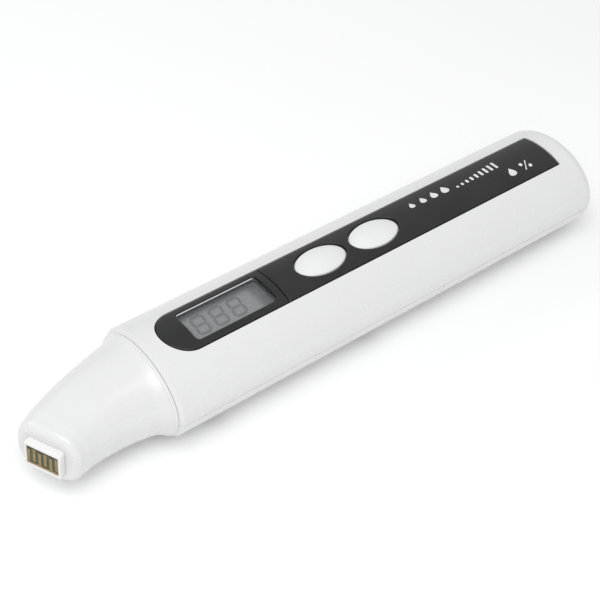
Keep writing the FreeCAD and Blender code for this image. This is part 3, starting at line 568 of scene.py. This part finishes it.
# %% Panel tools
EDGE, OPENING_EDGE, HOLE_EDGE = 0.40, 0.08, 0.16
GROOVE_SHARE = 4.0
PANEL_CORNER = 0.4
edge_in, edge_down = rounding(EDGE, 9)
opening_in, opening_down = rounding(OPENING_EDGE)
hole_in, hole_down = rounding(HOLE_EDGE)


def edge_drop(distance):
    """How much lower the rounded edge lies at a distance in from it."""
    return EDGE - np.sqrt(EDGE ** 2 - np.clip(EDGE - distance, 0, EDGE) ** 2)


def closed_sheet(name, plan, drop, faces):
    """Curved sheet over a plan net: the top on the oval, the underside one thickness in, and walls along every
    edge that only one face uses."""
    _, keep, places = np.unique(np.round(plan, 5), axis=0, return_index=True, return_inverse=True)
    faces = places.reshape(-1)[faces]
    x, y = plan[keep].T
    top = np.stack([x, y, oval_height(y) - drop[keep]], axis=-1)
    bottom = np.stack([x, y, oval_height(y, PANEL_THICK)], axis=-1)
    pairs = np.concatenate([faces[:, [k, (k + 1) % 4]] for k in range(4)])
    pairs = pairs[pairs[:, 0] != pairs[:, 1]]
    _, first, counts = np.unique(np.sort(pairs, axis=1), axis=0, return_index=True, return_counts=True)
    rim = pairs[first[counts == 1]]
    count = len(top)
    walls = np.stack([rim[:, 1], rim[:, 0], rim[:, 0] + count, rim[:, 1] + count], axis=-1)
    every = np.concatenate([faces, faces[:, ::-1] + count, walls])
    return make_piece(name, np.concatenate([top, bottom]), every)


def ray_lengths(loop, angles):
    """Distance from the middle to a closed loop, along each angle."""
    around = np.arctan2(loop[:, 1], loop[:, 0])
    order = np.argsort(around)
    return np.interp(angles, around[order], np.hypot(*loop.T)[order], period=2 * np.pi)


def capsule_front(inset, count=3000):
    """Outline of the front section about the display's middle: half-round in front, square behind."""
    half = PANEL_HALF - inset
    front = bezel_low.x + PANEL_HALF - DISPLAY_X
    rear = bezel_high.x - inset / GROOVE_SHARE - DISPLAY_X
    turn = np.linspace(np.pi / 2, 3 * np.pi / 2, count)
    arc = np.stack([front + half * np.cos(turn), half * np.sin(turn)], axis=-1)
    side = np.linspace(front, rear, count)
    end = np.linspace(-half, half, count)
    lines = [np.stack([side, 0 * side - half], -1), np.stack([0 * end + rear, end], -1),
             np.stack([side[::-1], 0 * side + half], -1)]
    return np.concatenate([arc] + lines)


def display_opening(growth):
    """Outline of the display opening, grown all round."""
    ring = rounded_rings([OPENING_LONG / 2 + growth], [OPENING_WIDE / 2 + growth], [OPENING_RADIUS + growth], [0], 60)
    loop = ring[0, :, :2]
    closed = np.concatenate([loop, loop[:1]])
    share = np.linspace(0, 1, 40)[:, None, None]
    return (closed[None, :-1] * (1 - share) + closed[None, 1:] * share).reshape(-1, 2)


# %% [markdown]
# ### Front section, round the display
# Rows run outwards from the display opening to the outline, and columns are rays from the display's middle.
# The corner at the groove is given rays of its own, so that it stays sharp.

# %% Front section of the panel
def filled(inner, outer, steps):
    """Rows of ray lengths from the hole's rows to the outline's rows, with even rows between them."""
    between = [inner[-1] + (outer[0] - inner[-1]) * share for share in np.linspace(0, 1, steps + 1)[1:-1]]
    return np.stack(inner + between + outer)


def front_panel():
    """Rays from the display's middle: rows of their lengths go from the opening to the outline."""
    corner = math.atan2(PANEL_HALF, bezel_high.x - DISPLAY_X)
    angles = np.unique(np.concatenate([np.linspace(-np.pi, np.pi, 480, endpoint=False), [corner, -corner]]))
    inner = [ray_lengths(display_opening(step), angles) for step in opening_in]
    outer = [ray_lengths(capsule_front(step), angles) for step in edge_in[::-1]]
    lengths = filled(inner, outer, 8)
    flat = np.zeros(len(lengths) - len(inner) - len(outer))
    drop = np.concatenate([opening_down, flat, edge_down[::-1]])
    plan = np.stack([DISPLAY_X + lengths * np.cos(angles), lengths * np.sin(angles)], axis=-1)
    faces = net_faces(len(lengths), len(angles), False, True)
    return closed_sheet("front_panel", plan.reshape(-1, 2), np.repeat(drop, len(angles)), faces)


dress(front_panel(), panel_black, "casing", "display_bezel")

# %% [markdown]
# ### Rear section, round the buttons
# Each button hole gets a net of rays out to a rectangle. The two rectangles share an edge midway between the
# buttons, and a plain net carries on to the tail. All three use the same set of angles, so their edges meet
# point for point and weld.

# %% Rear section of the panel
REACH = (HOLD_X - POWER_X) / 2


def shared_angles():
    """Angles of the rays round a button: even steps, and one through each point where two nets must meet."""
    front_corner = math.atan2(PANEL_HALF, POWER_X - panel_low.x)
    meeting = np.append(np.arctan2(PANEL_HALF - edge_in, REACH), front_corner)
    upper = np.concatenate([np.linspace(0, np.pi, 121), meeting, np.pi - meeting])
    angles = np.unique(np.round(np.concatenate([upper, -upper]), 12))
    return angles[angles > -np.pi + 1e-9]


def hole_net(centre, low, high, angles):
    """Rays from a button hole to a rectangle that reaches low in front of the button and high behind it. Each
    ray's length to an oval is one over the hypotenuse of cosine and sine over the half sizes."""
    cosine, sine = np.cos(angles), np.sin(angles)
    half_sizes = np.stack([hole_in + BUTTON_A + BUTTON_GAP, hole_in + BUTTON_B + BUTTON_GAP], axis=-1)
    inner = [1 / np.hypot(cosine / a, sine / b) for a, b in half_sizes]
    outer = []
    for step in edge_in[::-1]:
        length = np.where(cosine > 0, high - step, low - step / GROOVE_SHARE) / np.maximum(np.abs(cosine), 1e-9)
        width = (PANEL_HALF - step) / np.maximum(np.abs(sine), 1e-9)
        outer.append(np.minimum(length, width))
    lengths = filled(inner, outer, 5)
    plan = np.stack([centre + lengths * cosine, lengths * sine], axis=-1)
    hole_drop = np.zeros(lengths.shape)
    hole_drop[:len(hole_down)] = hole_down[:, None]
    from_groove = (plan[..., 0] - panel_low.x) * GROOVE_SHARE
    side_drop = edge_drop(np.minimum(PANEL_HALF - np.abs(plan[..., 1]), from_groove))
    return plan, np.maximum(hole_drop, side_drop), True


def tail_net(angles):
    """Plain net from the second rectangle to the end of the panel. Its columns start at the ends of the rays,
    and draw together where the corner's quarter circle narrows the panel."""
    rear = panel_high.x
    across = REACH * np.tan(angles[np.abs(angles) < math.atan2(PANEL_HALF, REACH) + 1e-9])
    along = np.concatenate([np.linspace(HOLD_X + REACH, rear - 1, 30), rear - np.linspace(0.9, 0.5, 3),
                            rear - edge_in[::-1]])
    past = np.clip(along - (rear - PANEL_CORNER), 0, PANEL_CORNER)
    width = PANEL_HALF - PANEL_CORNER + np.sqrt(PANEL_CORNER ** 2 - past ** 2)
    x, y = np.meshgrid(along, across, indexing="ij")
    y = y * (width / PANEL_HALF)[:, None]
    return np.stack([x, y], axis=-1), edge_drop(np.minimum(width[:, None] - np.abs(y), rear - x)), False


def rear_panel():
    """Two nets of rays round the button holes and one plain net behind them, welded along shared edges."""
    angles = shared_angles()
    nets = [hole_net(POWER_X, POWER_X - panel_low.x, REACH, angles), hole_net(HOLD_X, REACH, REACH, angles),
            tail_net(angles)]
    first = np.cumsum([0] + [drop.size for _, drop, _ in nets])
    faces = [net_faces(*drop.shape, False, closes) + first[k] for k, (_, drop, closes) in enumerate(nets)]
    plans = np.concatenate([plan.reshape(-1, 2) for plan, _, _ in nets])
    drops = np.concatenate([drop.reshape(-1) for _, drop, _ in nets])
    return closed_sheet("rear_panel", plans, drops, np.concatenate(faces))


dress(rear_panel(), panel_black, "casing", "button_panel")

# %% [markdown]
# ## Display window
# The window is a clear plate with a step round its foot that holds it under the panel. Its polished edge is
# rounded, as on a real display, where that rounding draws a bright line along one side; here the bright line
# is a painted highlight in the window's finish. A plate could be cut from a block with a bevel, but a profile
# carried round a rounded rectangle gives the step and the rounding in one go.

# %% Display window
WINDOW_GAP, WINDOW_STEP, WINDOW_EDGE = 0.05, 0.4, 0.10


def clear_window():
    """Profile of half sizes and heights carried round a rounded rectangle, closed at both middles. The foot
    lies 0.12 mm over the glass, which leaves room for the segments."""
    half_long, half_wide = OPENING_LONG / 2 - WINDOW_GAP, OPENING_WIDE / 2 - WINDOW_GAP
    foot, step_top, top = window_low.z + 0.12, window_low.z + 0.33, window_high.z
    turn_in, turn_down = rounding(WINDOW_EDGE, 5)
    grow = np.concatenate([[-3.0, WINDOW_STEP, WINDOW_STEP, 0], -turn_in, [-0.8, -2.0]])
    height = np.concatenate([[foot, foot, step_top, step_top], top - turn_down, [top, top]])
    radius = np.clip(OPENING_RADIUS + grow, 0.05, None)
    rings = rounded_rings(half_long + grow, half_wide + grow, radius, height)
    first, last = rings[:1].copy(), rings[-1:].copy()
    first[..., :2], last[..., :2] = 0, 0
    rings = np.concatenate([first, rings, last])
    rings[..., 0] += DISPLAY_X
    return make_piece("clear_window", *ring_net(rings, False))


dress(clear_window(), window_clear, "casing", "display_window")

# %% [markdown]
# ### Display segments
# The digits are unlit: liquid-crystal segments that are off still show as faint darker shapes. So three
# slanted digits of seven bars are laid on the glass, each bar a long hexagon. They could be painted into the
# glass's finish, but thin pieces stay crisp from every side.

# %% Display segments
DIGIT_HIGH, DIGIT_WIDE, BAR, BAR_GAP, LEAN = 4.1, 2.4, 0.55, 0.07, 0.12
DIGIT_PLACES, SEGMENT_THICK = (-5.5, -1.5, 2.5), 0.04


def flat_bars(ends, width, point_share=0.5):
    """Outlines of bars between pairs of ends, each a long hexagon with pointed tips; all bars at once."""
    start, end = ends[:, 0], ends[:, 1]
    along = (end - start) / np.linalg.norm(end - start, axis=1, keepdims=True)
    across = np.stack([-along[:, 1], along[:, 0]], axis=-1) * width / 2
    shoulder = along * width * point_share
    return np.stack([start, start + shoulder - across, end - shoulder - across, end,
                     end - shoulder + across, start + shoulder + across], axis=1)


def prisms(name, outlines, bottom, top, lift):
    """Closed flat prisms from outlines with the same number of corners, all at once: rings shrink from each
    outline to its middle, and lift gives the height of the ground from y."""
    count, corners = outlines.shape[:2]
    share = np.array([0, 0.25, 0.5, 0.75, 1, 1, 0.75, 0.5, 0.25, 0])[None, :, None, None]
    middle = outlines.mean(axis=1, keepdims=True)[:, None]
    level = middle + (outlines[:, None] - middle) * share
    height = lift(level[..., 1]) + np.repeat([bottom, top], 5)[None, :, None]
    points = np.concatenate([level, height[..., None]], axis=-1).reshape(-1, 3)
    faces = net_faces(10, corners, False, True)
    every = faces[None] + (np.arange(count) * 10 * corners)[:, None, None]
    return make_piece(name, points, every.reshape(-1, 4))


def digit_ends(centre_x, centre_y):
    """Ends of the seven bars of one leaning digit."""
    w, h, g = DIGIT_WIDE / 2, DIGIT_HIGH / 2, BAR_GAP
    bars = np.array([
        [[-w + g, h], [w - g, h]], [[-w + g, 0], [w - g, 0]], [[-w + g, -h], [w - g, -h]],
        [[-w, g], [-w, h - g]], [[w, g], [w, h - g]], [[-w, -h + g], [-w, -g]], [[w, -h + g], [w, -g]],
    ])
    bars[..., 0] += LEAN * bars[..., 1] + centre_x
    bars[..., 1] += centre_y
    return bars


def display_segments():
    """Three digits of seven bars, just over the display glass."""
    ends = np.concatenate([digit_ends(DISPLAY_X + place, 0.1) for place in DIGIT_PLACES])
    return prisms("display_segments", flat_bars(ends, BAR), 0.0, SEGMENT_THICK, lambda y: window_low.z + 0 * y)


dress(display_segments(), segment_grey, "casing")

# %% [markdown]
# ## Buttons
# Each button is a thin oval cap with a hollow skirt and a stem that presses its switch. The top is part of a
# large ball, and the rim is rolled over with a small radius, so a soft light line follows it. The whole cap
# is one closed profile, from the foot of the stem to the middle of the dome, carried round an oval.

# %% Buttons
CAP_RIM, CAP_CROWN, CAP_FILLET = 17.85, power_high.z, 0.4
SKIRT_WALL, SKIRT_FOOT, ROOF = 0.9, 15.6, 1.3
STEM_RADIUS, STEM_FOOT = 1.2, power_low.z


def button_cap(name, centre_x):
    """Profile with a half length, half width and height for each row, carried round an oval. The dome's ball
    passes through the crown and the rim; the fillet is a small circle that touches it from inside."""
    rise = CAP_CROWN - CAP_RIM
    ball = (BUTTON_B ** 2 + rise ** 2) / (2 * rise)
    heart = CAP_CROWN - ball
    middle = BUTTON_B - CAP_FILLET
    turn = np.linspace(np.pi / 2, math.asin(middle / (ball - CAP_FILLET)), 7)
    rolled = middle + CAP_FILLET * np.sin(turn)
    rolled_z = heart + math.sqrt((ball - CAP_FILLET) ** 2 - middle ** 2) + CAP_FILLET * np.cos(turn)
    dome = np.linspace(rolled[-1], 0, 12)[1:]
    outside = np.concatenate([rolled, dome])
    inner = [0, STEM_RADIUS, STEM_RADIUS]
    across = np.concatenate([inner, [BUTTON_B - SKIRT_WALL, BUTTON_B - SKIRT_WALL, BUTTON_B], outside])
    along = np.concatenate([inner, [BUTTON_A - SKIRT_WALL, BUTTON_A - SKIRT_WALL, BUTTON_A],
                            outside * BUTTON_A / BUTTON_B])
    height = np.concatenate([[STEM_FOOT, STEM_FOOT, CAP_RIM - ROOF, CAP_RIM - ROOF, SKIRT_FOOT, SKIRT_FOOT],
                             rolled_z, heart + np.sqrt(ball ** 2 - dome ** 2)])
    turn = np.linspace(0, 2 * np.pi, 128, endpoint=False)
    x = centre_x + along[:, None] * np.cos(turn)
    y = across[:, None] * np.sin(turn)
    z = height[:, None] + 0 * x
    return make_piece(name, *ring_net(np.stack([x, y, z], axis=-1), False))


for name, centre_x in (("power", POWER_X), ("hold", HOLD_X)):
    dress(button_cap(name + "_cap", centre_x), button_white, name + "_button", name + "_button")

# %% [markdown]
# ## Sensor boss
# The tip ends in a small rectangular frame that holds the sensor board. Its edges are rounded, inside and
# out, so it reads as a bright little frame round the gold bars. One closed profile runs round a rounded
# rectangle: up the outside, over the rim, down into the window, along the ledge and out through the back.

# %% Sensor boss
TIP = np.array([-63.95, -4.81, axis_height])
BEND = math.radians(24.5)
BOSS_A, BOSS_B, BOSS_BACK, BOSS_ROUND = 3.6, 2.95, 2.85, 0.28
FRAME_A, FRAME_B, FRAME_ROUND, FRAME_DEPTH, LEDGE = 3.08, 2.26, 0.12, 1.05, 0.45
FLANGE_A, FLANGE_B, FLANGE_THICK = 3.9, 3.5, 0.8


def sensor_rim():
    """Profile of half sizes and depths carried round a rounded rectangle, then turned into the bent tip."""
    out_in, out_down = rounding(BOSS_ROUND, 7)
    in_in, in_down = rounding(FRAME_ROUND, 5)

    def halves(flange, boss, opening):
        """Half sizes along one side of the frame, row by row."""
        return np.concatenate([[flange, flange, boss, boss], boss - out_in, opening + in_in[::-1],
                               [opening, opening - LEDGE, opening - LEDGE]])

    half_a = halves(FLANGE_A, BOSS_A, FRAME_A)
    half_b = halves(FLANGE_B, BOSS_B, FRAME_B)
    foot = BOSS_BACK + FLANGE_THICK
    depth = np.concatenate([[foot, BOSS_BACK, BOSS_BACK, 1.0], out_down, in_down[::-1],
                            [FRAME_DEPTH, FRAME_DEPTH, foot]])
    radius = np.concatenate([[1.5, 1.5, 0.5, 0.5], 0.5 - 0.5 * out_in, FRAME_ROUND + 0 * in_in, [0.05] * 3])
    rings = rounded_rings(half_a, half_b, radius, depth, 8)
    across, rise, inward = rings[..., 0], rings[..., 1], rings[..., 2]
    x = TIP[0] + inward * math.cos(BEND) - across * math.sin(BEND)
    y = TIP[1] + inward * math.sin(BEND) + across * math.cos(BEND)
    return make_piece("sensor_rim", *ring_net(np.stack([x, y, TIP[2] + rise], axis=-1), True))


dress(sensor_rim(), boss_white, "casing", "sensor_holder")

# %% [markdown]
# ## Printed marks
# The rear of the panel carries white pad printing. These are plain marks of what the meter does: a row of
# water drops, small to large, then rising level bars, and a drop with a percent sign. Ink lies about a
# hundredth of a millimetre thick, so each mark is a very thin prism that follows the oval. Its foot is sunk
# a little into the panel, so that no gap shows.

# %% Printed marks
def drop_outline(centre_x, centre_y, size, count=40):
    """Water drop: a circle whose sides are drawn out to a point, by sine times a power of the half sine."""
    turn = np.linspace(0, 2 * np.pi, count, endpoint=False)
    high = 0.5 * size * np.cos(turn)
    wide = 0.62 * size * np.sin(turn) * np.sin(turn / 2) ** 1.5
    return np.stack([centre_x + wide, centre_y + high], axis=-1)


def bar_outline(centre_x, centre_y, wide, high, lean=0.0, count=40):
    """Upright bar with rounded corners that leans sideways when asked."""
    ring = rounded_rings([wide / 2], [high / 2], [min(wide, high) * 0.45], [0], count // 4)[0, :, :2]
    return ring @ np.array([[1, 0], [lean, 1]]) + [centre_x, centre_y]


white_ink = finish("white_ink", (0.70, 0.70, 0.70), (0.76, 0.76, 0.76), patch=900.0, grain=6000.0,
                   rough=(0.4, 0.55), bump=0.15)
ROW_Y, DROP_START, DROP_PITCH = 1.75, 24.0, 2.9
LEVEL_START, LEVEL_PITCH, LEVEL_WIDE = 35.6, 1.38, 0.62
SIGN_X, SIGN_Y, DOT = 52.3, -1.9, 0.8
marks = [drop_outline(DROP_START + DROP_PITCH * k, ROW_Y, 1.5 + 0.2 * k) for k in range(4)]
marks += [bar_outline(LEVEL_START + LEVEL_PITCH * k, ROW_Y - 1.0 + 0.1 * k, LEVEL_WIDE, 0.5 + 0.2 * k)
          for k in range(9)]
marks += [drop_outline(SIGN_X - 4.0, SIGN_Y, 2.1), bar_outline(SIGN_X - 0.9, SIGN_Y + 0.55, DOT, DOT),
          bar_outline(SIGN_X + 0.9, SIGN_Y - 0.55, DOT, DOT), bar_outline(SIGN_X, SIGN_Y, 0.34, 2.2, 0.7)]
INK_FOOT, INK_TOP = -0.03, 0.015
dress(prisms("printed_marks", np.stack(marks), INK_FOOT, INK_TOP, oval_height), white_ink, "casing")

# %% [markdown]
# ## Studio
# The meter lies on a white table. One big soft panel hangs above it, a little to our left, so the top is
# bright and the side falls off gently towards the table. A weak panel behind lights the far edge. Neither
# stands where the black panel would mirror it, so the panel stays dark. Whites are shown as they are, with
# no film curve, so that paper white stays white.

# %% Studio
def add_floor():
    """Plain pale floor."""
    mesh = bpy.data.meshes.new("floor")
    half = 3.0
    mesh.from_pydata([(-half, -half, 0), (half, -half, 0), (half, half, 0), (-half, half, 0)], [], [(0, 1, 2, 3)])
    floor = bpy.data.objects.new("floor", mesh)
    bpy.context.scene.collection.objects.link(floor)
    wear(floor, finish("floor_paper", (0.93, 0.93, 0.93), (0.95, 0.95, 0.95), patch=4.0, grain=400.0,
                       rough=(0.85, 0.95), bump=0.02))
    floor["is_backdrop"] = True


def add_light(name, place, size, energy, aim=(0, 0, 0)):
    """Square soft light that faces a point."""
    data = bpy.data.lights.new(name, "AREA")
    data.size = size
    data.energy = energy
    light = bpy.data.objects.new(name, data)
    light.location = place
    light.rotation_euler = (Vector(aim) - Vector(place)).to_track_quat("-Z", "Y").to_euler()
    bpy.context.scene.collection.objects.link(light)


add_floor()
add_light("overhead", (-0.22, -0.20, 0.56), 0.50, 2.6)
add_light("behind", (-0.20, 0.50, 0.35), 0.30, 0.5)
world = bpy.data.worlds.new("world")
world.use_nodes = True
world.node_tree.nodes["Background"].inputs["Color"].default_value = (0.97, 0.975, 0.98, 1)
world.node_tree.nodes["Background"].inputs["Strength"].default_value = 0.58
bpy.context.scene.world = world
bpy.context.scene.view_settings.view_transform = "Standard"

# %% [markdown]
# ## Sizes
# The box of the whole scene is measured and printed in millimetres.

# %% Sizes and finish
low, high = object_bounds()
print("visual box in mm:", [round((b - a) / MM, 2) for a, b in zip(low, high)])
